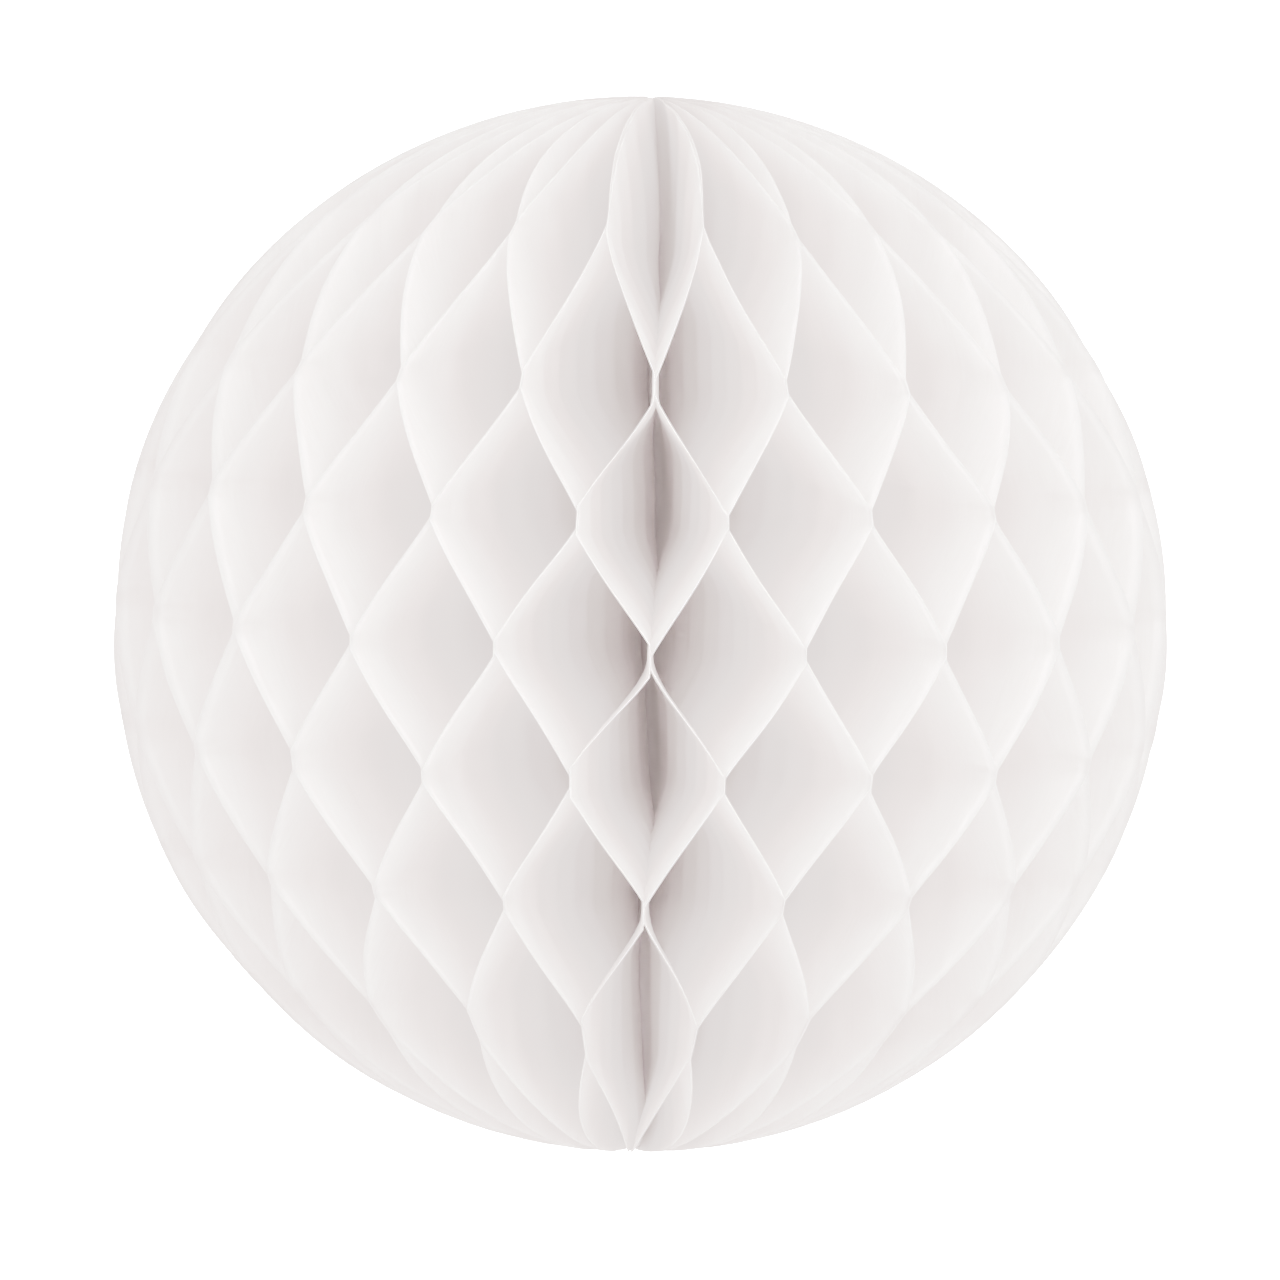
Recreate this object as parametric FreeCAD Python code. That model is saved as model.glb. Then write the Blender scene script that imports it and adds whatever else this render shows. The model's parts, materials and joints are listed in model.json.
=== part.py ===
import FreeCAD, Part
import math
import os

# Paper honeycomb ball. Millimetres and degrees.
# Row frame: origin at the ball's centre, +Z up along the spine, the closing seam towards +Y.

# Ball and its leaves
BALL_RADIUS = 152.4            # half of a nominal 12 inch ball
LEAF_COUNT = 44                # even, so that the glue pattern closes at the seam
LEAF_THICKNESS = 0.2
SPINE_RADIUS = 3.0             # where the leaves' bound edge stands
TIP_RADIUS = 4.2               # where the round edge ends, above and below the spine
SEAM_AZIMUTH = 90.0

# Glue pattern
ROW_PITCH = 36.0               # from one row of glue strips to the next, which is on the other side
ROW_OFFSET = 6.8               # height of the middle row above the ball's centre
ROWS_EACH_WAY = 3              # rows above and below the middle one
TOP_ROW_LIFT = 4.7             # the top row stands this much higher than the pitch would put it
STRIP_HEIGHT = 4.0
LOWEST_STRIP_EXTRA = 6.0       # the lowest strips reach this much further down
GLUE_GAP = 0.05                # film of glue between two leaves

# How finely the bent panels are cut into flat facets
BANDS_PER_PANEL = 3
CAP_BANDS = 5
RADIAL_SHARES = (0.0, 0.06, 0.3, 0.65, 1.0)
EASING = 0.3                   # 0 is a straight panel, 1 leaves each strip tangentially
CAP_SWING = 0.5                # beyond the last strips a leaf only relaxes to the middle of its wedge

# Covers, their adhesive and the spine
COVER_THICKNESS = 0.8
COVER_INSET = 2.0              # the cards are a little smaller than the leaves
ADHESIVE_THICKNESS = 0.2
ADHESIVE_WIDTH = 12.0
ADHESIVE_LENGTH = 30.0
ADHESIVE_EDGE_INSET = 14.0     # from the ball's outline to the middle of a strip
ADHESIVE_LATITUDES = (-48.0, 0.0, 48.0)
FACE_GAP = 0.02                # between an adhesive strip and each card
GLUE_BEAD_RADIUS = 2.9
GLUE_BEAD_SETBACK = 4.0        # the bead stops short of the poles
THREAD_RADIUS = 0.75
THREAD_CLEARANCE = 0.05
KNOT_RADIUS = 1.4
KNOT_SETBACK = 2.2             # middle of each knot, below the pole

SEAM_HALF_GAP = ADHESIVE_THICKNESS / 2 + FACE_GAP + COVER_THICKNESS + GLUE_GAP / 2
TIP_HEIGHT = math.sqrt(BALL_RADIUS**2 - TIP_RADIUS**2)


def ease(share):
    """Turns a share of the way across a panel into a share of the swing from one side to the other."""
    smooth = share * share * (3 - 2 * share)
    return EASING * smooth + (1 - EASING) * share


def outline_radius(height):
    return math.sqrt(BALL_RADIUS**2 - height**2)


def strip_ends(row):
    """Heights of the lower and upper end of a row's glue strips."""
    middle = ROW_OFFSET + row * ROW_PITCH
    if row == ROWS_EACH_WAY:
        middle += TOP_ROW_LIFT
    extra = LOWEST_STRIP_EXTRA if row == -ROWS_EACH_WAY else 0
    return middle - STRIP_HEIGHT / 2 - extra, middle + STRIP_HEIGHT / 2


def cap_levels(strip_end, pole):
    """Levels from the last strip's end out to a pole, at even steps of latitude to keep the outline round."""
    levels = []
    end_side = ROWS_EACH_WAY % 2
    strip_latitude = math.asin(strip_end / BALL_RADIUS)
    tip_latitude = math.asin(pole * TIP_HEIGHT / BALL_RADIUS)
    for step in range(1, CAP_BANDS + 1):
        latitude = strip_latitude + (tip_latitude - strip_latitude) * step / CAP_BANDS
        height = BALL_RADIUS * math.sin(latitude)
        share = (height - strip_end) / (pole * TIP_HEIGHT - strip_end)
        levels.append((height, abs(end_side - CAP_SWING * ease(share))))
    return levels


def leaf_levels():
    """Heights from bottom to top, each with its swing: 0 at an even row's side, 1 at an odd row's side."""
    levels = cap_levels(strip_ends(-ROWS_EACH_WAY)[0], -1)[::-1]
    for row in range(-ROWS_EACH_WAY, ROWS_EACH_WAY + 1):
        side = abs(row) % 2
        low, high = strip_ends(row)
        levels.append((low, side))
        levels.append((high, side))
        if row < ROWS_EACH_WAY:
            next_low = strip_ends(row + 1)[0]
            for band in range(1, BANDS_PER_PANEL):
                share = band / BANDS_PER_PANEL
                levels.append((high + share * (next_low - high), abs(side - ease(share))))
    return levels + cap_levels(strip_ends(ROWS_EACH_WAY)[1], 1)


def spoke_azimuth(spoke, radius):
    """Azimuth in radians of a glue spoke. The covers take an equal thickness at every radius."""
    seam_half_angle = math.asin(SEAM_HALF_GAP / radius)
    step = (2 * math.pi - 2 * seam_half_angle) / LEAF_COUNT
    return math.radians(SEAM_AZIMUTH) + seam_half_angle + spoke * step


def leaf_point(number, swing, radius, height, face):
    """A point of a leaf. Swing 0 is against the even spoke, 1 against the odd one; face is -1 or 1."""
    low = spoke_azimuth(number - 1, radius)
    high = spoke_azimuth(number, radius)
    setback = math.asin((GLUE_GAP + LEAF_THICKNESS) / 2 / radius)
    share = swing if number % 2 else 1 - swing
    azimuth = low + setback + share * (high - low - 2 * setback)
    across = (low + high) / 2
    offset = face * LEAF_THICKNESS / 2
    return FreeCAD.Vector(
        radius * math.cos(azimuth) - offset * math.sin(across),
        radius * math.sin(azimuth) + offset * math.cos(across),
        height,
    )


def make_leaf(number, levels):
    """One leaf: a closed skin of triangles over a grid of levels and radial shares, front and back."""
    columns = len(RADIAL_SHARES)
    points = []
    for face in (-1, 1):
        for height, swing in levels:
            reach = outline_radius(height) - SPINE_RADIUS
            for share in RADIAL_SHARES:
                points.append(leaf_point(number, swing, SPINE_RADIUS + share * reach, height, face))
    back = len(levels) * columns
    triangles = []
    for level in range(len(levels) - 1):
        for column in range(columns - 1):
            a = level * columns + column
            b = a + 1
            c = b + columns
            d = a + columns
            for corners in ((a, b, c), (a, c, d)):
                triangles.append(corners)
                triangles.append(tuple(back + corner for corner in reversed(corners)))
    border = list(range(columns))
    border += [level * columns + columns - 1 for level in range(1, len(levels))]
    border += [(len(levels) - 1) * columns + column for column in range(columns - 2, -1, -1)]
    border += [level * columns for level in range(len(levels) - 2, 0, -1)]
    for index, here in enumerate(border):
        ahead = border[(index + 1) % len(border)]
        triangles.extend([(here, back + here, back + ahead), (here, back + ahead, ahead)])
    skin = Part.Shape()
    skin.makeShapeFromMesh((points, triangles), 0.0001)
    solid = Part.makeSolid(skin)
    if solid.Volume < 0:
        solid.reverse()
    return solid


def make_cover(side):
    """A half-disc card beside the seam plane; side is -1 or 1 along X."""
    radius = BALL_RADIUS - COVER_INSET
    inner = side * (ADHESIVE_THICKNESS / 2 + FACE_GAP)
    end = math.sqrt(radius**2 - SPINE_RADIUS**2)
    top = FreeCAD.Vector(inner, SPINE_RADIUS, end)
    bottom = FreeCAD.Vector(inner, SPINE_RADIUS, -end)
    middle = FreeCAD.Vector(inner, radius, 0)
    edges = [Part.Arc(top, middle, bottom).toShape(), Part.makeLine(bottom, top)]
    card = Part.Face(Part.Wire(edges))
    return card.extrude(FreeCAD.Vector(side * COVER_THICKNESS, 0, 0))


def make_adhesive_strips():
    strips = []
    for latitude in ADHESIVE_LATITUDES:
        strip = Part.makeBox(
            ADHESIVE_THICKNESS,
            ADHESIVE_WIDTH,
            ADHESIVE_LENGTH,
            FreeCAD.Vector(-ADHESIVE_THICKNESS / 2, -ADHESIVE_WIDTH / 2, -ADHESIVE_LENGTH / 2),
        )
        strip.translate(FreeCAD.Vector(0, BALL_RADIUS - ADHESIVE_EDGE_INSET, 0))
        strip.rotate(FreeCAD.Vector(0, 0, 0), FreeCAD.Vector(1, 0, 0), latitude)
        strips.append(strip)
    return Part.makeCompound(strips)


def make_spine_glue():
    half = BALL_RADIUS - GLUE_BEAD_SETBACK
    base = FreeCAD.Vector(0, 0, -half)
    up = FreeCAD.Vector(0, 0, 1)
    bead = Part.makeCylinder(GLUE_BEAD_RADIUS, 2 * half, base, up)
    bore = Part.makeCylinder(THREAD_RADIUS + THREAD_CLEARANCE, 2 * half, base, up)
    return bead.cut(bore)


def make_spine_thread():
    knot_height = BALL_RADIUS - KNOT_SETBACK
    thread = Part.makeCylinder(
        THREAD_RADIUS, 2 * knot_height, FreeCAD.Vector(0, 0, -knot_height), FreeCAD.Vector(0, 0, 1)
    )
    knots = [Part.makeSphere(KNOT_RADIUS, FreeCAD.Vector(0, 0, end * knot_height)) for end in (-1, 1)]
    return thread.fuse(knots)


def main():
    os.makedirs("parts", exist_ok=True)
    levels = leaf_levels()
    nodes = {
        "cover_a": make_cover(-1),
        "cover_b": make_cover(1),
        "adhesive_strips": make_adhesive_strips(),
        "spine_glue": make_spine_glue(),
        "spine_thread": make_spine_thread(),
    }
    for number in range(1, LEAF_COUNT + 1):
        nodes[f"leaf_{number:02d}"] = make_leaf(number, levels)
    for name, shape in nodes.items():
        shape.exportStep(f"parts/{name}.step")


main()
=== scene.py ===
"""Paper honeycomb ball, in metres, in the CAD part's own frame.

Every tissue leaf, the glued spine, its thread and the adhesive get a finer mesh here.
The two cards stay the CAD part's own.
"""
import json
import math

import bpy
import numpy as np
from mathutils import Matrix, Vector

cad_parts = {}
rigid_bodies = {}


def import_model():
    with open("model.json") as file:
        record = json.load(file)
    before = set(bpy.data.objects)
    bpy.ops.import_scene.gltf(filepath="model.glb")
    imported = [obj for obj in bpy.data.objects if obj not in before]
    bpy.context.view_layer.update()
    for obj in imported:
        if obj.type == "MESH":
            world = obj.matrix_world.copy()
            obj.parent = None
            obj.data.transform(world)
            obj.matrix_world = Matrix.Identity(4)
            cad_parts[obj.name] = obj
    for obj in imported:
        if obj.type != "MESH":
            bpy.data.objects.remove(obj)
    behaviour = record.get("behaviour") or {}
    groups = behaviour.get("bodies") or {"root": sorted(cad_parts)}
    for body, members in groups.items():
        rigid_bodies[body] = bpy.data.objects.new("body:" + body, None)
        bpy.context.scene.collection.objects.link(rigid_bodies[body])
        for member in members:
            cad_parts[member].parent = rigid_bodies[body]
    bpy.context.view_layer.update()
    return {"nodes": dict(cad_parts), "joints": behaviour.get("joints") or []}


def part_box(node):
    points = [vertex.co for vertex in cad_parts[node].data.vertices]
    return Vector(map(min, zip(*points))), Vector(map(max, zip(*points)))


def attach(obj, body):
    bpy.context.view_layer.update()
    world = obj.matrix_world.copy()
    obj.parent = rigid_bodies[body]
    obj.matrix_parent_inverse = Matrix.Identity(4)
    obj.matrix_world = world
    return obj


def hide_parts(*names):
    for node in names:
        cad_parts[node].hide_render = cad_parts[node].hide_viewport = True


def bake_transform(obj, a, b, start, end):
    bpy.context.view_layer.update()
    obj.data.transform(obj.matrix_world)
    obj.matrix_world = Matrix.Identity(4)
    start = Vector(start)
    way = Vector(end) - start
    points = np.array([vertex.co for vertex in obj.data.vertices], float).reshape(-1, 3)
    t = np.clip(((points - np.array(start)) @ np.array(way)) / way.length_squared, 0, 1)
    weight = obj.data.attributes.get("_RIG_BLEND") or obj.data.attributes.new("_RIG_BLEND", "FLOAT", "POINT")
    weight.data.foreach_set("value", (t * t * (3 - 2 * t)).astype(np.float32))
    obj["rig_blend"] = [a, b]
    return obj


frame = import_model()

MM = 0.001
RANDOM = np.random.default_rng(12)

# The ball, as in the CAD part
LEAF_COUNT = sum(name.startswith("leaf_") for name in frame["nodes"])
TIP_RADIUS = 4.2 * MM
BALL_RADIUS = math.hypot(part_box("leaf_01")[1].z, TIP_RADIUS)
SPINE_RADIUS = 3.0 * MM
SEAM_AZIMUTH = math.radians(90)
ROW_PITCH = 36.0 * MM
ROW_OFFSET = 6.8 * MM
ROWS_EACH_WAY = 3
TOP_ROW_LIFT = 4.7 * MM
LOWEST_STRIP_EXTRA = 6.0 * MM
GLUE_GAP = 0.05 * MM
COVER_OUTER_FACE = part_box("cover_b")[1].x
SEAM_HALF_GAP = COVER_OUTER_FACE + GLUE_GAP / 2

# How the tissue differs from leaf to leaf. Widths without a unit are shares of a cell's width.
TISSUE_THICKNESS = 0.15 * MM
STRIP_REACH = (1.1 * MM, 2.6 * MM)        # from a glue strip's middle to where a panel leaves it
STRIP_WANDER = 0.8 * MM                   # how far a glue strip may sit from its row
OUTLINE_WANDER = 0.5 * MM                 # how far a leaf's cut edge may stand in or out
OUTLINE_SHARES = (0.5, 0.3, 0.2)          # of that, what is even, in slow ripples and in quick ripples
OUTLINE_RIPPLES = (5, 13)                 # ripples for each turn of latitude
OUTLINE_PHASE = 3                         # the most by which a ripple starts early or late, in radians
BULGE_WANDER = 0.04                       # how far a panel may bow
SPOKE_WANDER = 0.2                        # how far a spoke may wander at half depth
SPOKE_WAVES = 3                           # slow waves of that wander, each shorter and lower than the last
SPOKE_WAVE_PACE = 2                       # radians of the first wave from the ball's middle to its pole
RIM_EASING = 0.1                          # how tangentially a panel leaves its strips at the rim
SPINE_EASING = 0.9                        # the same at the spine
STRIP_GROWTH = 0.25                       # share of a panel by which a strip grows near the spine
COCKLE_HEIGHT = 0.6 * MM                  # upright waves of the tissue
COCKLE_MOST = 0.22                        # the highest they may be, where the cells are narrow
COCKLE_LENGTH = (14 * MM, 22 * MM)
COCKLE_SLOPE = 0.3
FOOT_SWING = (0.85, 1.0)                  # how far a leaf swings back towards its other spoke at the foot
TOP_SWING = (0.6, 0.9)
CAP_LEAN = 0.08                           # how far a spoke may lean beyond its last strip

# Round the spine all spokes are swept the same way, which hides the glue. It fades towards the seam.
SWEEP = 4.6 * MM
SWEEP_RISE = 3.5 * MM                     # distance from the spine over which most of it is reached
SWEEP_FADE = 1.5                          # how quickly it fades from there out to the rim
SWEEP_WAVE = 0.3                          # share by which it grows and shrinks up the spine
SWEEP_WAVE_LENGTH = 85 * MM
SWEEP_WAVE_CREST = 118 * MM

# The front spoke and the leaves beside it
FRONT_SPOKE = LEAF_COUNT // 2
FRONT_STRIP_SHIFTS = (-1.8 * MM, -2.3 * MM, -0.3 * MM)   # its lowest, middle and highest strip
FRONT_STRIP_REACH = (3.2 * MM, 4.4 * MM)                # longer strips on the leaf before it
FRONT_END_SHIFTS = (-2.5 * MM, 2.5 * MM)                # of the first and last strips on both sides of it
PETAL_LEANS = (-0.18, 0.42)                             # beyond them the two leaves at the front lean apart
PETAL_NEXT_SWING = 0.2                                  # and the leaves behind those stay close to them

# Mesh fineness of a leaf
PANEL_STEPS = 11
STRIP_STEPS = 2
CAP_STEPS = 16
COLUMNS = 50
COLUMN_CROWDING = 1.3                     # above 1 crowds the columns towards the spine

# Spine
BEAD_HALF_LENGTH = 148.4 * MM
BEAD_RADIUS = (2.5 * MM, 2.88 * MM)
BEAD_BORE = 0.8 * MM
BEAD_RINGS = 150
BEAD_SIDES = 28
BEAD_WAVES = ((41, 0), (97, 2), (163, -3), (0, 5))       # of its lumps: up the spine and round it
BEAD_END = 0.985                          # share of the half length from which its ends are rounded off
BEAD_END_ROUNDING = 0.35
PLY_RADIUS = 0.36 * MM
PLY_TURN = 3.2 * MM
PLY_STEPS_PER_TURN = 8
PLY_SIDES = 6
KNOT_HEIGHT = 150.2 * MM
KNOT_SCALE = 0.27 * MM
KNOT_TALLNESS = 1.3
KNOT_THICKENING = 1.2                     # the cord of a knot is this much thicker than a ply
KNOT_STEPS = 96
KNOT_SIDES = 8

# Adhesive strips on the inside of the second card
TAPE_THICKNESS = 0.2 * MM
TAPE_SIZE = (12.0 * MM, 30.0 * MM)
TAPE_CORNER = 1.2 * MM
TAPE_CORNER_STEPS = 6
TAPE_EDGE_INSET = 14.0 * MM
TAPE_LATITUDES = (-48.0, 0.0, 48.0)

# Tissue: colours, light through it, and its fibres and clouds in noise cells for each metre out and up
TISSUE_STREAKS = ((0.955, 0.948, 0.946, 1), (0.99, 0.987, 0.986, 1))
TISSUE_CLOUDS = (0.98, 0.975, 0.974, 1)
# A paler colour painted along each leaf's cut edge: a painted highlight standing in for the bright rims of
# the leaves.
TISSUE_PAINTED_RIM_HIGHLIGHT = (0.98, 0.977, 0.976, 1)
TISSUE_HIGHLIGHT_BAND = (0.5 * MM, 1.6 * MM)   # how far in from the cut edge the painted rim highlight fades out
TISSUE_LIGHT_THROUGH = 0.6
TISSUE_ROUGHNESS = 0.85
TISSUE_SPECULAR = 0.12
FIBRE_CELLS = (900, 90)
FIBRE_DETAIL = 3
FIBRE_RANGE = (0.3, 0.7)                  # of the noise, over which one colour turns into the other
FIBRE_BUMP = 0.15 * MM
FIBRE_BUMP_STRENGTH = 0.25
CLOUD_CELLS = (110, 45)
CLOUD_DETAIL = 2
CLOUD_RANGE = (0.25, 0.75)
TISSUE_NOISE_ROUGHNESS = 0.6

# The other materials: darkest and palest colour, noise cells for each metre, roughness, bump strength
DRIED_GLUE = ((0.8, 0.77, 0.7, 1), (0.9, 0.88, 0.83, 1), 300, 0.4, 0.5)
COTTON_THREAD = ((0.84, 0.82, 0.78, 1), (0.96, 0.95, 0.93, 1), 2500, 0.8, 0.6)
ADHESIVE_TAPE = ((0.6, 0.58, 0.5, 1), (0.72, 0.7, 0.62, 1), 500, 0.35, 0.1)
COVER_CARD = ((0.76, 0.745, 0.71, 1), (0.86, 0.845, 0.815, 1), 900, 0.7, 0.3)
SPECKLE_BUMP = 0.1 * MM
SPECKLE_DETAIL = 4
FLOOR_COLOUR = (0.9, 0.9, 0.9, 1)
FLOOR_ROUGHNESS = 0.9
WHITE = (1, 1, 1, 1)

# Floor, light, tone and camera
FLOOR_DROP = 0.6
FLOOR_HALF_WIDTH = 1.5
SKY_MEAN = 1.0
SKY_SLOPE = (0.05, -0.45, -0.1)           # how much the sky brightens to the right, to the back and upwards
KEY_PLACE = (0.9, -2.4, 0.8)
KEY_SIZE = 1.2
KEY_POWER = 6
DIFFUSE_BOUNCES = 12
TRANSLUCENT_BOUNCES = 14
MOST_BOUNCES = 22
SEEN_SKY = 2.5                            # bright enough to show as plain white
# How brightly each level of light is shown, in red, green and blue
TONE_LIGHT = (0.0, 0.05, 0.085, 0.125, 0.19, 0.3, 0.4, 0.6, 0.74, 0.84, 0.95)
TONE_SHOWN = (
    (0.22, 0.378, 0.502, 0.583, 0.65, 0.715, 0.748, 0.797, 0.847, 0.885, 0.952),
    (0.16, 0.333, 0.455, 0.54, 0.615, 0.685, 0.722, 0.768, 0.825, 0.875, 0.943),
    (0.155, 0.325, 0.45, 0.532, 0.605, 0.68, 0.715, 0.76, 0.818, 0.868, 0.94),
)
CAMERA_DISTANCE = 2.73
CAMERA_AZIMUTH = math.radians(-1.1)
CAMERA_ELEVATION = math.radians(5.7)
CAMERA_ROLL = math.radians(1.2)
BALL_SHARE_OF_FRAME = 0.825
AIM_BELOW_CENTRE = 4.6 * MM
SENSOR_WIDTH = 36


# ---------------------------------------------------------------- helpers


def smooth(share):
    return share * share * (3 - 2 * share)


def add_object(name, points, faces, material, smooth_faces=True):
    mesh = bpy.data.meshes.new(name)
    mesh.from_pydata(np.asarray(points).tolist(), [], [tuple(int(i) for i in face) for face in faces])
    mesh.polygons.foreach_set("use_smooth", [smooth_faces] * len(mesh.polygons))
    mesh.materials.append(material)
    piece = bpy.data.objects.new(name, mesh)
    bpy.context.scene.collection.objects.link(piece)
    return piece


def tube(path, radius, sides, closed=False):
    """Points and faces of a round tube along a path. An open tube has flat ends."""
    path = np.asarray(path, float)
    ahead = np.roll(path, -1, axis=0) - np.roll(path, 1, axis=0)
    if not closed:
        ahead[0] = path[1] - path[0]
        ahead[-1] = path[-1] - path[-2]
    ahead /= np.linalg.norm(ahead, axis=1)[:, None]
    # A fixed reference direction keeps the rings in step, since no path here runs along it.
    side = np.cross(ahead, (0.9, 0.3, 0.1))
    side /= np.linalg.norm(side, axis=1)[:, None]
    over = np.cross(ahead, side)
    angles = np.arange(sides) * 2 * math.pi / sides
    rings = (
        path[:, None, :]
        + radius * np.cos(angles)[None, :, None] * side[:, None, :]
        + radius * np.sin(angles)[None, :, None] * over[:, None, :]
    )
    count = len(path)
    faces = []
    for ring in range(count if closed else count - 1):
        here = ring * sides
        there = (ring + 1) % count * sides
        for corner in range(sides):
            turned = (corner + 1) % sides
            faces.append((here + corner, here + turned, there + turned, there + corner))
    if not closed:
        faces.append(tuple(range(sides))[::-1])
        faces.append(tuple((count - 1) * sides + corner for corner in range(sides)))
    return rings.reshape(-1, 3), faces


def joined(parts):
    points = []
    faces = []
    for part_points, part_faces in parts:
        start = sum(len(group) for group in points)
        points.append(part_points)
        faces.extend(tuple(start + index for index in face) for face in part_faces)
    return np.concatenate(points), faces


# ---------------------------------------------------------------- leaves


def random_strips():
    """How far each spoke's strips sit from their rows, and how far each leaf's strips reach down and up."""
    rows = 2 * ROWS_EACH_WAY + 1
    shift = RANDOM.uniform(-STRIP_WANDER, STRIP_WANDER, (LEAF_COUNT + 1, rows))
    reach = RANDOM.uniform(*STRIP_REACH, (LEAF_COUNT + 1, rows, 2))
    shift[FRONT_SPOKE, 1::2] = FRONT_STRIP_SHIFTS
    shift[[FRONT_SPOKE - 1, FRONT_SPOKE + 1], ::rows - 1] = FRONT_END_SHIFTS
    reach[FRONT_SPOKE] = RANDOM.uniform(*FRONT_STRIP_REACH, (rows, 2))
    reach[:, 0, 0] += LOWEST_STRIP_EXTRA
    return shift, reach


def random_caps():
    """How far each leaf swings back beyond its last strips, and how far each spoke leans there: foot, top."""
    lowest, highest = zip(FOOT_SWING, TOP_SWING)
    swing = RANDOM.uniform(lowest, highest, (LEAF_COUNT + 1, 2))
    lean = RANDOM.uniform(-CAP_LEAN, CAP_LEAN, (LEAF_COUNT + 1, 2))
    lean[[0, -1]] = 0
    swing[[FRONT_SPOKE, FRONT_SPOKE + 1], 1] = 0
    swing[[FRONT_SPOKE - 1, FRONT_SPOKE + 2], 1] = PETAL_NEXT_SWING
    lean[[FRONT_SPOKE - 1, FRONT_SPOKE + 1], 1] = PETAL_LEANS
    return swing, lean


def random_spoke_waves():
    """Sizes and phases of the slow waves up each spoke, then a cockle's length, phase and slope.

    The spokes against the covers stay straight."""
    waves = RANDOM.uniform(-1, 1, (LEAF_COUNT + 1, SPOKE_WAVES, 2))
    lowest = (COCKLE_LENGTH[0], 0, -COCKLE_SLOPE)
    highest = (COCKLE_LENGTH[1], 2 * math.pi, COCKLE_SLOPE)
    cockles = RANDOM.uniform(lowest, highest, (LEAF_COUNT + 1, 3))
    straightness = np.ones(LEAF_COUNT + 1)
    straightness[[0, -1]] = 0
    return waves, cockles, straightness


def leaf_levels(number):
    """Heights up a leaf, each with its lower and upper side, its share of the way between them, its panel.

    A side is 0 at the spoke before the leaf and 1 at the spoke after it."""
    levels = []
    rows = range(-ROWS_EACH_WAY, ROWS_EACH_WAY + 1)
    # Even rows are glued on even spokes.
    sides = {row: (number - 1 + row) % 2 for row in rows}
    lows = {}
    highs = {}
    for row in rows:
        place = row + ROWS_EACH_WAY
        middle = ROW_OFFSET + row * ROW_PITCH + strip_shift[number - 1 + sides[row], place]
        if row == rows[-1]:
            middle += TOP_ROW_LIFT
        lows[row] = middle - strip_reach[number, place, 0]
        highs[row] = middle + strip_reach[number, place, 1]

    tip_latitude = math.acos(TIP_RADIUS / BALL_RADIUS)
    tip = BALL_RADIUS * math.sin(tip_latitude)
    lower_end = lows[rows[0]]
    side = sides[rows[0]]
    swung = side + (1 - 2 * side) * cap_swing[number, 0]
    lower_latitude = math.asin(lower_end / BALL_RADIUS)
    for step in range(CAP_STEPS):
        height = BALL_RADIUS * math.sin(-tip_latitude + (lower_latitude + tip_latitude) * step / CAP_STEPS)
        levels.append((height, swung, side, (height + tip) / (lower_end + tip), 0))
    for panel, row in enumerate(rows, start=1):
        side = sides[row]
        for step in range(STRIP_STEPS + 1):
            height = lows[row] + step / STRIP_STEPS * (highs[row] - lows[row])
            levels.append((height, side, side, 0.0, panel))
        if row < rows[-1]:
            for step in range(1, PANEL_STEPS):
                share = step / PANEL_STEPS
                height = highs[row] + share * (lows[row + 1] - highs[row])
                levels.append((height, side, sides[row + 1], share, panel))
    upper_end = highs[rows[-1]]
    swung = side + (1 - 2 * side) * cap_swing[number, 1]
    upper_latitude = math.asin(upper_end / BALL_RADIUS)
    for step in range(1, CAP_STEPS + 1):
        latitude = upper_latitude + (tip_latitude - upper_latitude) * step / CAP_STEPS
        height = BALL_RADIUS * math.sin(latitude)
        levels.append((height, side, swung, (height - upper_end) / (tip - upper_end), len(rows) + 1))
    heights, below, above, shares, panels = np.array(levels).T
    return heights, below, above, shares, panels.astype(int)


def spoke_azimuth(spoke, radius):
    """Azimuth of a glue spoke. Near the spine the leaves share what the two covers leave."""
    seam_half_angle = np.arcsin(SEAM_HALF_GAP / radius)
    step = (2 * math.pi - 2 * seam_half_angle) / LEAF_COUNT
    return SEAM_AZIMUTH + seam_half_angle + spoke * step


def spoke_drift(spoke, radius, height):
    """How far a spoke stands aside from its straight line, in cell widths."""
    reach = np.sqrt(BALL_RADIUS**2 - height**2)
    depth = np.clip((radius - SPINE_RADIUS) / (reach - SPINE_RADIUS), 0, 1)
    waves, cockles, straightness = spoke_waves
    wander = 0
    for wave, (size, phase) in enumerate(waves[spoke], start=1):
        turned = wave * height / BALL_RADIUS * SPOKE_WAVE_PACE
        wander = wander + size / (wave + 1) * np.sin(turned + math.pi * phase)
    wander = SPOKE_WANDER * wander * np.sin(math.pi * depth) ** 2

    length, phase, slope = cockles[spoke]
    cell_width = 2 * math.pi * radius / LEAF_COUNT
    cockle = np.sin(2 * math.pi * (radius + slope * height) / length + phase)
    cockle_height = COCKLE_HEIGHT / cell_width * np.sin(math.pi * depth) ** 0.5
    cockle = cockle * np.minimum(cockle_height, COCKLE_MOST)

    crest = np.cos(2 * math.pi * (height - SWEEP_WAVE_CREST) / SWEEP_WAVE_LENGTH)
    rise = 1 - np.exp((SPINE_RADIUS - radius) / SWEEP_RISE)
    sweep = SWEEP / cell_width * (1 + SWEEP_WAVE * crest) * rise * (1 - depth) ** SWEEP_FADE
    sweep = sweep * math.sin(math.pi * spoke / LEAF_COUNT)

    last_strip = ROW_OFFSET + np.sign(height) * ROWS_EACH_WAY * ROW_PITCH
    beyond = np.clip((height - last_strip) / (np.sign(height) * BALL_RADIUS - last_strip), 0, 1)
    lean = np.where(height > 0, cap_lean[spoke, 1], cap_lean[spoke, 0]) * smooth(beyond)
    return straightness[spoke] * (wander + cockle + sweep + lean)


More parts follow.
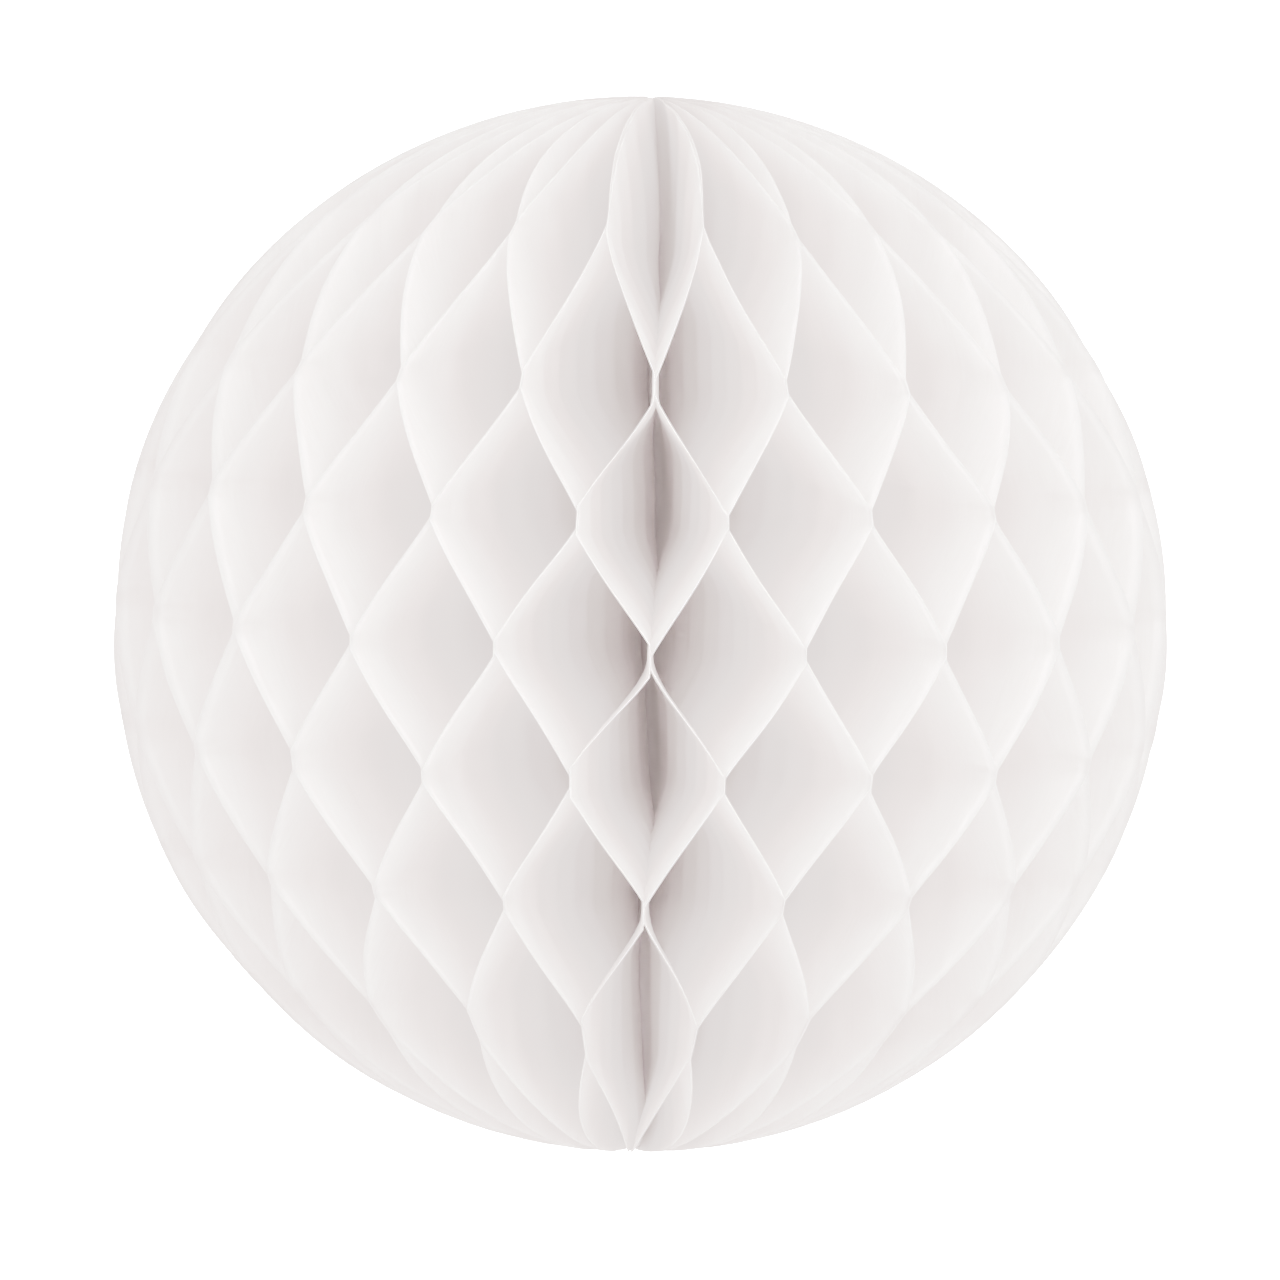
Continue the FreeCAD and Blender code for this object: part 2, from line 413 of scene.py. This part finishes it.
def leaf_surface(number):
    """Radius, azimuth, height, share of the fold and middle azimuth at each grid point of a leaf."""
    heights, below, above, shares, panels = leaf_levels(number)
    column = np.linspace(0, 1, COLUMNS)[None, :]
    wander = RANDOM.uniform(-1, 1, 3)
    angle = np.arcsin(heights / BALL_RADIUS)
    outline = OUTLINE_SHARES[0] * wander[0]
    for height_share, ripples, start in zip(OUTLINE_SHARES[1:], OUTLINE_RIPPLES, wander[1:]):
        outline = outline + height_share * np.sin(ripples * angle + OUTLINE_PHASE * start)
    outline = BALL_RADIUS + OUTLINE_WANDER * np.cos(angle) * outline
    reach = np.sqrt(outline**2 - heights**2) - SPINE_RADIUS
    radius = SPINE_RADIUS + reach[:, None] * (column**COLUMN_CROWDING)
    height = np.broadcast_to(heights[:, None], radius.shape)

    easing = SPINE_EASING + (RIM_EASING - SPINE_EASING) * column**3
    growth = STRIP_GROWTH * (1 - column**2)
    share = np.clip((shares[:, None] - growth) / (1 - 2 * growth), 0, 1)
    eased = easing * smooth(share) + (1 - easing) * share
    swing = below[:, None] + (above - below)[:, None] * eased
    crossing = (below != above)[:, None] * np.sin(math.pi * share) ** 2
    bow = RANDOM.uniform(-BULGE_WANDER, BULGE_WANDER, (panels.max() + 1, 2))[panels]
    swing = swing + crossing * (bow[:, :1] + (bow[:, 1:] - bow[:, :1]) * column)
    swing = np.clip(swing, 0, 1)

    low = spoke_azimuth(number - 1, radius)
    high = spoke_azimuth(number, radius)
    drift_low = spoke_drift(number - 1, radius, height)
    drift_high = spoke_drift(number, radius, height)
    # What a fold has to undo for the leaf to lie flat, as a share of one fold.
    turn = swing + drift_low * (1 - swing) + drift_high * swing
    setback = np.arcsin((GLUE_GAP + TISSUE_THICKNESS) / 2 / radius)
    azimuth = low + turn * (high - low) + setback * (1 - 2 * swing)
    return radius, azimuth, height, turn, (low + high) / 2


def build_leaf(number, material):
    """A leaf as a thin closed sheet: front and back skins joined round the edge."""
    radius, azimuth, height, turn, across = leaf_surface(number)
    skins = []
    for face in (-1, 1):
        offset = face * TISSUE_THICKNESS / 2
        x = radius * np.cos(azimuth) - offset * np.sin(across)
        y = radius * np.sin(azimuth) + offset * np.cos(across)
        skins.append(np.stack([x, y, height], axis=-1).reshape(-1, 3))
    levels, columns = radius.shape
    index = np.arange(levels * columns).reshape(levels, columns)
    a, b = index[:-1, :-1].ravel(), index[:-1, 1:].ravel()
    c, d = index[1:, 1:].ravel(), index[1:, :-1].ravel()
    back = index.size
    front_faces = np.stack([a, b, c, d], axis=1)
    back_faces = np.stack([c, b, a, d], axis=1) + back
    border = np.concatenate([index[0, :], index[1:, -1], index[-1, -2::-1], index[-2:0:-1, 0]])
    ahead = np.roll(border, -1)
    edge_faces = np.stack([border, border + back, ahead + back, ahead], axis=1)
    faces = np.concatenate([front_faces, back_faces, edge_faces])

    leaf = add_object(f"tissue_{number:02d}", np.concatenate(skins), faces, material)
    mesh = leaf.data
    mesh.polygons.foreach_set("use_smooth", [True] * (2 * len(front_faces)) + [False] * len(edge_faces))
    # Where a point is on its own sheet, for the material: out from the spine, up, and in from the cut edge,
    # the last for the painted rim highlight.
    edge_distance = (radius[:, -1:] - radius).ravel()
    places = np.stack([radius.ravel(), height.ravel() + number * BALL_RADIUS, edge_distance], axis=1)
    place = mesh.attributes.new("sheet_place", "FLOAT_VECTOR", "POINT")
    place.data.foreach_set("vector", np.tile(places, (2, 1)).astype(np.float32).ravel())

    middle_radius = BALL_RADIUS / 2
    ends = []
    for spoke in (number - 1, number):
        angle = spoke_azimuth(spoke, middle_radius)
        ends.append((middle_radius * math.cos(angle), middle_radius * math.sin(angle), 0))
    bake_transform(leaf, body_names[number - 1], body_names[number], start=ends[0], end=ends[1])
    # Each point turns by its own share of the way between the spokes, so that glued neighbours stay together.
    mesh.attributes["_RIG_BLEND"].data.foreach_set("value", np.tile(turn.ravel(), 2).astype(np.float32))
    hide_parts(f"leaf_{number:02d}")


# ---------------------------------------------------------------- spine and adhesive


def build_glue_bead(material):
    """The dried bead round the bound edges: an uneven tube with rounded ends and a bore for the thread."""
    lift = np.linspace(-1, 1, BEAD_RINGS)
    angles = np.arange(BEAD_SIDES) * 2 * math.pi / BEAD_SIDES
    phases = RANDOM.uniform(0, 2 * math.pi, len(BEAD_WAVES))
    waves = 0
    for (up, round_it), phase in zip(BEAD_WAVES, phases):
        waves = waves + np.sin(up * lift[:, None] + round_it * angles[None, :] + phase)
    uneven = waves / (2 * len(BEAD_WAVES)) + 0.5
    outside = BEAD_RADIUS[0] + (BEAD_RADIUS[1] - BEAD_RADIUS[0]) * uneven
    past_end = np.clip((np.abs(lift) - BEAD_END) / (1 - BEAD_END), 0, 1)
    outside = outside * (1 - BEAD_END_ROUNDING * past_end**2)[:, None]
    rings = []
    for radius, order in ((outside, 1), (np.full_like(outside, BEAD_BORE), -1)):
        x = radius * np.cos(angles)[None, :]
        y = radius * np.sin(angles)[None, :]
        z = np.broadcast_to((lift * BEAD_HALF_LENGTH)[:, None], x.shape)
        rings.append(np.stack([x, y, z], axis=-1)[::order])
    points = np.concatenate(rings).reshape(-1, 3)
    count = 2 * BEAD_RINGS
    faces = []
    for ring in range(count):
        here = ring * BEAD_SIDES
        there = (ring + 1) % count * BEAD_SIDES
        for corner in range(BEAD_SIDES):
            turned = (corner + 1) % BEAD_SIDES
            faces.append((here + corner, here + turned, there + turned, there + corner))
    bead = add_object("glue_bead", points, faces, material)
    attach(bead, body_names[0])
    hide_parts("spine_glue")


def build_thread(material):
    """Two twisted plies down the spine, with a knot at each end."""
    steps = int(2 * KNOT_HEIGHT / PLY_TURN * PLY_STEPS_PER_TURN)
    height = np.linspace(-KNOT_HEIGHT, KNOT_HEIGHT, steps)
    parts = []
    for start in (0, math.pi):
        angle = height / PLY_TURN * 2 * math.pi + start
        path = np.stack([PLY_RADIUS * np.cos(angle), PLY_RADIUS * np.sin(angle), height], axis=1)
        parts.append(tube(path, PLY_RADIUS, PLY_SIDES))
    # Each knot is a trefoil.
    turn = np.arange(KNOT_STEPS) * 2 * math.pi / KNOT_STEPS
    knot_x = np.sin(turn) + 2 * np.sin(2 * turn)
    knot_y = np.cos(turn) - 2 * np.cos(2 * turn)
    knot = KNOT_SCALE * np.stack([knot_x, knot_y, -KNOT_TALLNESS * np.sin(3 * turn)], axis=1)
    knot_radius = KNOT_THICKENING * PLY_RADIUS
    for end in (-1, 1):
        parts.append(tube(knot + (0, 0, end * KNOT_HEIGHT), knot_radius, KNOT_SIDES, closed=True))
    points, faces = joined(parts)
    thread = add_object("twisted_thread", points, faces, material)
    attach(thread, body_names[0])
    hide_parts("spine_thread")


def build_tape(material):
    """Three rounded pieces of double-sided tape between the cards."""
    corners = []
    half_width = TAPE_SIZE[0] / 2 - TAPE_CORNER
    half_length = TAPE_SIZE[1] / 2 - TAPE_CORNER
    for quarter, (y, z) in enumerate(((1, 1), (-1, 1), (-1, -1), (1, -1))):
        for step in range(TAPE_CORNER_STEPS + 1):
            angle = (quarter + step / TAPE_CORNER_STEPS) * math.pi / 2
            corners.append((
                y * half_width + TAPE_CORNER * math.cos(angle),
                z * half_length + TAPE_CORNER * math.sin(angle),
            ))
    corners = np.array(corners)
    count = len(corners)
    parts = []
    for latitude in TAPE_LATITUDES:
        turned = math.radians(latitude)
        y = corners[:, 0] + BALL_RADIUS - TAPE_EDGE_INSET
        z = corners[:, 1]
        out = y * math.cos(turned) - z * math.sin(turned)
        up = y * math.sin(turned) + z * math.cos(turned)
        layers = [np.stack([np.full(count, side * TAPE_THICKNESS / 2), out, up], axis=1) for side in (-1, 1)]
        faces = [tuple(range(count))[::-1], tuple(range(count, 2 * count))]
        for corner in range(count):
            after = (corner + 1) % count
            faces.append((corner, after, count + after, count + corner))
        parts.append((np.concatenate(layers), faces))
    points, faces = joined(parts)
    tape = add_object("tape", points, faces, material, smooth_faces=False)
    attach(tape, body_names[-1])
    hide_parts("adhesive_strips")


# ---------------------------------------------------------------- materials


def new_material(name):
    material = bpy.data.materials.new(name)
    material.use_nodes = True
    nodes = material.node_tree.nodes
    return material, nodes, material.node_tree.links, nodes["Principled BSDF"]


def tissue_material():
    """Thin off-white tissue: long soft fibres up the sheet, faint clouding, light through it and a painted
    highlight along the cut edge.
    """
    material, nodes, links, paper = new_material("tissue_paper")
    place = nodes.new("ShaderNodeAttribute")
    place.attribute_name = "sheet_place"

    def stretched_noise(cells, detail):
        scaled = nodes.new("ShaderNodeVectorMath")
        scaled.operation = "MULTIPLY"
        scaled.inputs[1].default_value = (*cells, 0)
        noise = nodes.new("ShaderNodeTexNoise")
        noise.inputs["Scale"].default_value = 1
        noise.inputs["Detail"].default_value = detail
        noise.inputs["Roughness"].default_value = TISSUE_NOISE_ROUGHNESS
        links.new(place.outputs["Vector"], scaled.inputs[0])
        links.new(scaled.outputs["Vector"], noise.inputs["Vector"])
        return noise.outputs["Fac"]

    def between(value, low, high):
        ramp = nodes.new("ShaderNodeMapRange")
        ramp.interpolation_type = "SMOOTHSTEP"
        ramp.inputs["From Min"].default_value = low
        ramp.inputs["From Max"].default_value = high
        links.new(value, ramp.inputs["Value"])
        return ramp.outputs["Result"]

    def mixed(factor, first, second):
        mix = nodes.new("ShaderNodeMix")
        mix.data_type = "RGBA"
        links.new(factor, mix.inputs["Factor"])
        for socket, value in ((mix.inputs["A"], first), (mix.inputs["B"], second)):
            if isinstance(value, tuple):
                socket.default_value = value
            else:
                links.new(value, socket)
        return mix.outputs["Result"]

    fibres = stretched_noise(FIBRE_CELLS, FIBRE_DETAIL)
    clouds = stretched_noise(CLOUD_CELLS, CLOUD_DETAIL)
    streaked = mixed(between(fibres, *FIBRE_RANGE), *TISSUE_STREAKS)
    clouded = mixed(between(clouds, *CLOUD_RANGE), streaked, TISSUE_CLOUDS)
    # A paler band painted along the cut edge, fading out inwards: a painted highlight for the bright leaf
    # rims.
    parts = nodes.new("ShaderNodeSeparateXYZ")
    links.new(place.outputs["Vector"], parts.inputs[0])
    past_rim_highlight = between(parts.outputs["Z"], *TISSUE_HIGHLIGHT_BAND)
    colour = mixed(past_rim_highlight, TISSUE_PAINTED_RIM_HIGHLIGHT, clouded)
    links.new(colour, paper.inputs["Base Color"])
    paper.inputs["Roughness"].default_value = TISSUE_ROUGHNESS
    paper.inputs["Specular IOR Level"].default_value = TISSUE_SPECULAR

    bump = nodes.new("ShaderNodeBump")
    bump.inputs["Strength"].default_value = FIBRE_BUMP_STRENGTH
    bump.inputs["Distance"].default_value = FIBRE_BUMP
    links.new(fibres, bump.inputs["Height"])
    links.new(bump.outputs["Normal"], paper.inputs["Normal"])

    through = nodes.new("ShaderNodeBsdfTranslucent")
    links.new(colour, through.inputs["Color"])
    links.new(bump.outputs["Normal"], through.inputs["Normal"])
    blend = nodes.new("ShaderNodeMixShader")
    blend.inputs["Fac"].default_value = TISSUE_LIGHT_THROUGH
    links.new(paper.outputs["BSDF"], blend.inputs[1])
    links.new(through.outputs["BSDF"], blend.inputs[2])
    links.new(blend.outputs["Shader"], nodes["Material Output"].inputs["Surface"])
    return material


def speckled_material(name, dark, pale, scale, roughness, bump_strength):
    """Card, dried glue, tape and thread: a two-tone noise in the row frame, with a matching bump."""
    material, nodes, links, surface = new_material(name)
    place = nodes.new("ShaderNodeTexCoord")
    noise = nodes.new("ShaderNodeTexNoise")
    noise.inputs["Scale"].default_value = scale
    noise.inputs["Detail"].default_value = SPECKLE_DETAIL
    mix = nodes.new("ShaderNodeMix")
    mix.data_type = "RGBA"
    mix.inputs["A"].default_value = dark
    mix.inputs["B"].default_value = pale
    bump = nodes.new("ShaderNodeBump")
    bump.inputs["Strength"].default_value = bump_strength
    bump.inputs["Distance"].default_value = SPECKLE_BUMP
    links.new(place.outputs["Object"], noise.inputs["Vector"])
    links.new(noise.outputs["Fac"], mix.inputs["Factor"])
    links.new(mix.outputs["Result"], surface.inputs["Base Color"])
    links.new(noise.outputs["Fac"], bump.inputs["Height"])
    links.new(bump.outputs["Normal"], surface.inputs["Normal"])
    surface.inputs["Roughness"].default_value = roughness
    return material


# ---------------------------------------------------------------- stage


def make_floor():
    bpy.ops.mesh.primitive_plane_add(size=2 * FLOOR_HALF_WIDTH, location=(0, 0, -FLOOR_DROP))
    floor = bpy.context.object
    floor.name = "floor"
    material, _, _, surface = new_material("pale_floor")
    surface.inputs["Base Color"].default_value = FLOOR_COLOUR
    surface.inputs["Roughness"].default_value = FLOOR_ROUGHNESS
    floor.data.materials.append(material)


def make_world():
    """A white studio, brighter in front and a little darker overhead. The camera sees plain white."""
    world = bpy.data.worlds.new("studio")
    bpy.context.scene.world = world
    world.use_nodes = True
    nodes, links = world.node_tree.nodes, world.node_tree.links
    nodes.clear()
    place = nodes.new("ShaderNodeTexCoord")
    slope = nodes.new("ShaderNodeVectorMath")
    slope.operation = "DOT_PRODUCT"
    slope.inputs[1].default_value = SKY_SLOPE
    strength = nodes.new("ShaderNodeMath")
    strength.inputs[1].default_value = SKY_MEAN
    lit = nodes.new("ShaderNodeBackground")
    seen = nodes.new("ShaderNodeBackground")
    path = nodes.new("ShaderNodeLightPath")
    choose = nodes.new("ShaderNodeMixShader")
    output = nodes.new("ShaderNodeOutputWorld")
    links.new(place.outputs["Generated"], slope.inputs[0])
    links.new(slope.outputs["Value"], strength.inputs[0])
    links.new(strength.outputs["Value"], lit.inputs["Strength"])
    lit.inputs["Color"].default_value = WHITE
    seen.inputs["Color"].default_value = WHITE
    seen.inputs["Strength"].default_value = SEEN_SKY
    links.new(path.outputs["Is Camera Ray"], choose.inputs["Fac"])
    links.new(lit.outputs["Background"], choose.inputs[1])
    links.new(seen.outputs["Background"], choose.inputs[2])
    links.new(choose.outputs["Shader"], output.inputs["Surface"])


def make_softbox(name, place, size, power):
    data = bpy.data.lights.new(name, "AREA")
    data.shape = "SQUARE"
    data.size = size
    data.energy = power
    light = bpy.data.objects.new(name, data)
    light.location = place
    light.rotation_euler = (-Vector(place)).to_track_quat("-Z", "Y").to_euler()
    bpy.context.scene.collection.objects.link(light)


def make_camera():
    data = bpy.data.cameras.new("camera")
    camera = bpy.data.objects.new("camera", data)
    bpy.context.scene.collection.objects.link(camera)
    bpy.context.scene.camera = camera
    outward = Vector((
        math.sin(CAMERA_AZIMUTH) * math.cos(CAMERA_ELEVATION),
        -math.cos(CAMERA_AZIMUTH) * math.cos(CAMERA_ELEVATION),
        math.sin(CAMERA_ELEVATION),
    ))
    outline_slope = BALL_RADIUS / math.sqrt(CAMERA_DISTANCE**2 - BALL_RADIUS**2)
    data.sensor_width = SENSOR_WIDTH
    data.lens = SENSOR_WIDTH / 2 * BALL_SHARE_OF_FRAME / outline_slope
    aim = Vector((0, 0, -AIM_BELOW_CENTRE))
    turn = (-outward).to_track_quat("-Z", "Y").to_matrix().to_4x4() @ Matrix.Rotation(CAMERA_ROLL, 4, "Z")
    camera.matrix_world = Matrix.Translation(aim + outward * CAMERA_DISTANCE) @ turn


def set_tone():
    """A high-key studio tone: shadows are lifted and slightly warm, and lit paper stays below white."""
    view = bpy.context.scene.view_settings
    view.view_transform = "Standard"
    view.use_curve_mapping = True
    for curve, shown in zip(view.curve_mapping.curves[:3], TONE_SHOWN):
        curve.points[0].location = (TONE_LIGHT[0], shown[0])
        curve.points[-1].location = (TONE_LIGHT[-1], shown[-1])
        for light, level in zip(TONE_LIGHT[1:-1], shown[1:-1]):
            curve.points.new(light, level)
    view.curve_mapping.update()


def set_bounces():
    """Light reaches the spine only after many bounces through and between the leaves."""
    cycles = bpy.context.scene.cycles
    cycles.diffuse_bounces = DIFFUSE_BOUNCES
    cycles.transmission_bounces = TRANSLUCENT_BOUNCES
    cycles.max_bounces = MOST_BOUNCES


# ---------------------------------------------------------------- build

body_names = [frame["joints"][0]["parent"]] + [joint["child"] for joint in frame["joints"]]
strip_shift, strip_reach = random_strips()
cap_swing, cap_lean = random_caps()
spoke_waves = random_spoke_waves()

build_glue_bead(speckled_material("dried_glue", *DRIED_GLUE))
build_thread(speckled_material("cotton_thread", *COTTON_THREAD))
build_tape(speckled_material("adhesive_tape", *ADHESIVE_TAPE))
tissue = tissue_material()
for number in range(1, LEAF_COUNT + 1):
    build_leaf(number, tissue)
card = speckled_material("cover_card", *COVER_CARD)
for name in ("cover_a", "cover_b"):
    cover = frame["nodes"][name].data
    cover.materials.clear()
    cover.materials.append(card)

make_floor()
make_world()
make_softbox("key", KEY_PLACE, KEY_SIZE, KEY_POWER)
make_camera()
set_tone()
set_bounces()
